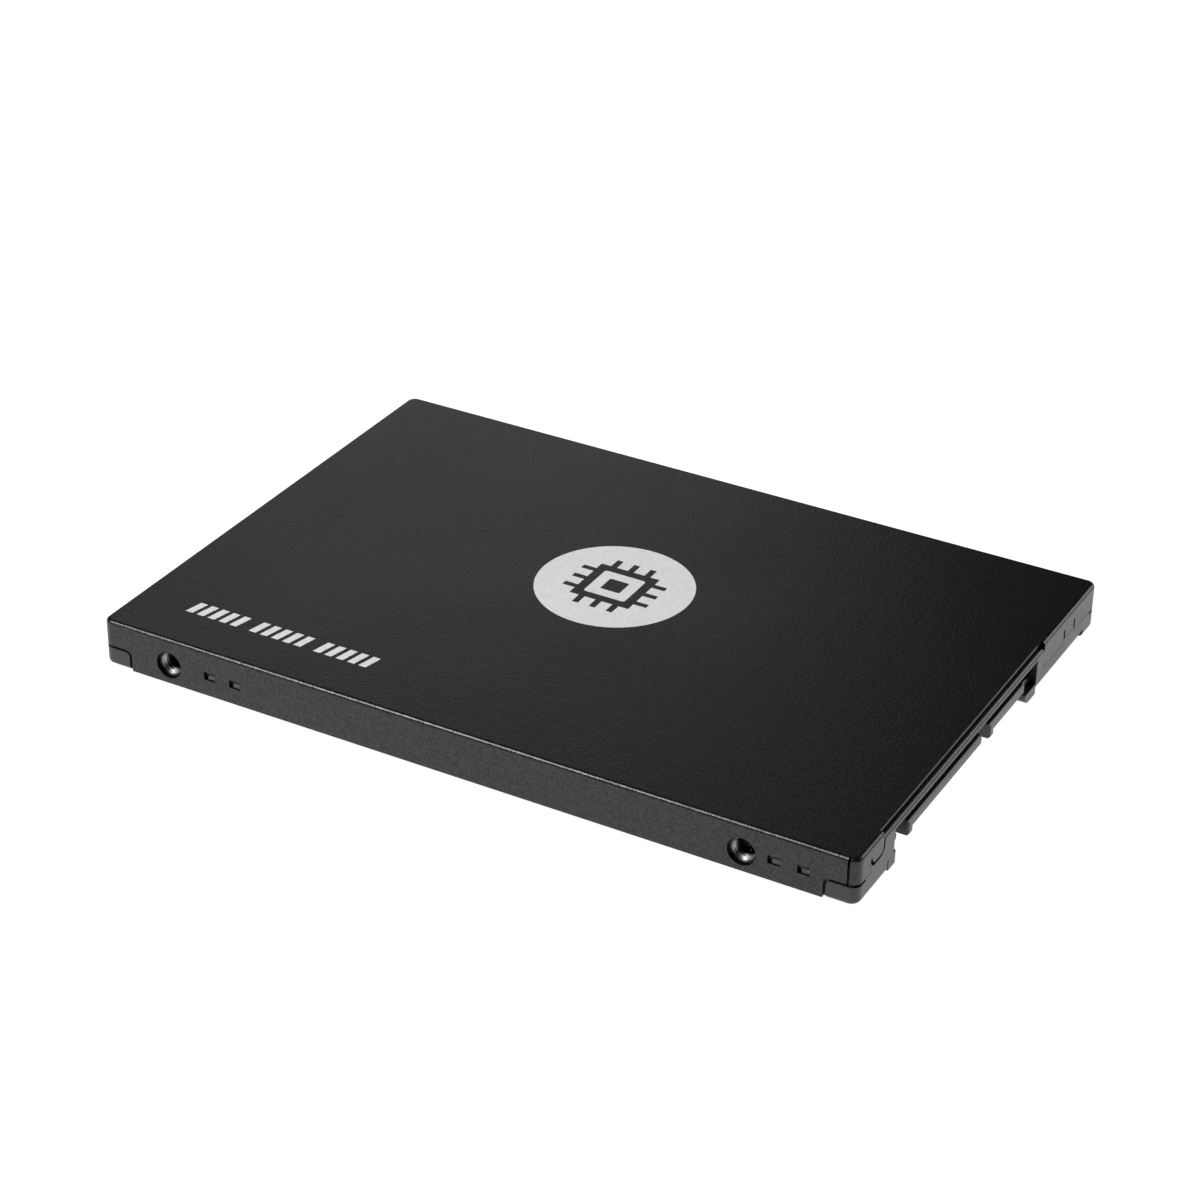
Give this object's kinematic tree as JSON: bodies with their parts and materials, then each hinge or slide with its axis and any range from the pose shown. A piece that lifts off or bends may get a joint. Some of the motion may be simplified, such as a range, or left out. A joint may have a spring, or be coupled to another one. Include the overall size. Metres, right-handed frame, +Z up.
{
  "type": "solid state drive",
  "caption": "Flat rectangular solid state drive in a 2.5-inch case: folded black cover over a moulded tray, with a combined data and power plug at one end.",
  "frame": {"origin": "centre of the outline, on the surface that the base stands on", "axes": "+X towards the plug end along the length, +Y across the width, +Z up to the printed face of the cover"},
  "size_m": [0.1002, 0.0698, 0.0068],
  "materials": {
    "cover_paint": "powder coat, fine grain",
    "base_plastic": "moulded, satin",
    "block_metal": "bright, threaded",
    "board_mask": "solder mask",
    "screw_steel": "zinc plated",
    "plug_plastic": "moulded",
    "contact_gold": "gold plated",
    "chip_resin": "moulded resin",
    "thermal_pad": "soft silicone",
    "crystal_can": "pressed can",
    "ferrite": "pressed ferrite",
    "tantalum_resin": "moulded resin",
    "capacitor_ceramic": "fired",
    "resistor_film": "fired",
    "label_film": "satin film"
  },
  "bodies": {
    "root": {"top_cover": "cover_paint", "base_tray": "base_plastic", "threaded_blocks": "block_metal", "circuit_board": "board_mask", "board_screws": "screw_steel", "plug_housing": "plug_plastic", "power_contacts": "contact_gold", "signal_contacts": "contact_gold", "plug_pegs": "screw_steel", "controller_chip": "chip_resin", "controller_pad": "thermal_pad", "flash_chip_1": "chip_resin", "flash_chip_2": "chip_resin", "flash_chip_3": "chip_resin", "flash_chip_4": "chip_resin", "flash_pad_1": "thermal_pad", "flash_pad_2": "thermal_pad", "flash_pad_3": "thermal_pad", "flash_pad_4": "thermal_pad", "power_chip": "chip_resin", "firmware_chip": "chip_resin", "clock_crystal": "crystal_can", "power_inductors": "ferrite", "bulk_capacitors": "tantalum_resin", "ceramic_capacitors": "capacitor_ceramic", "resistors": "resistor_film", "rear_label": "label_film"}
  },
  "joints": []
}
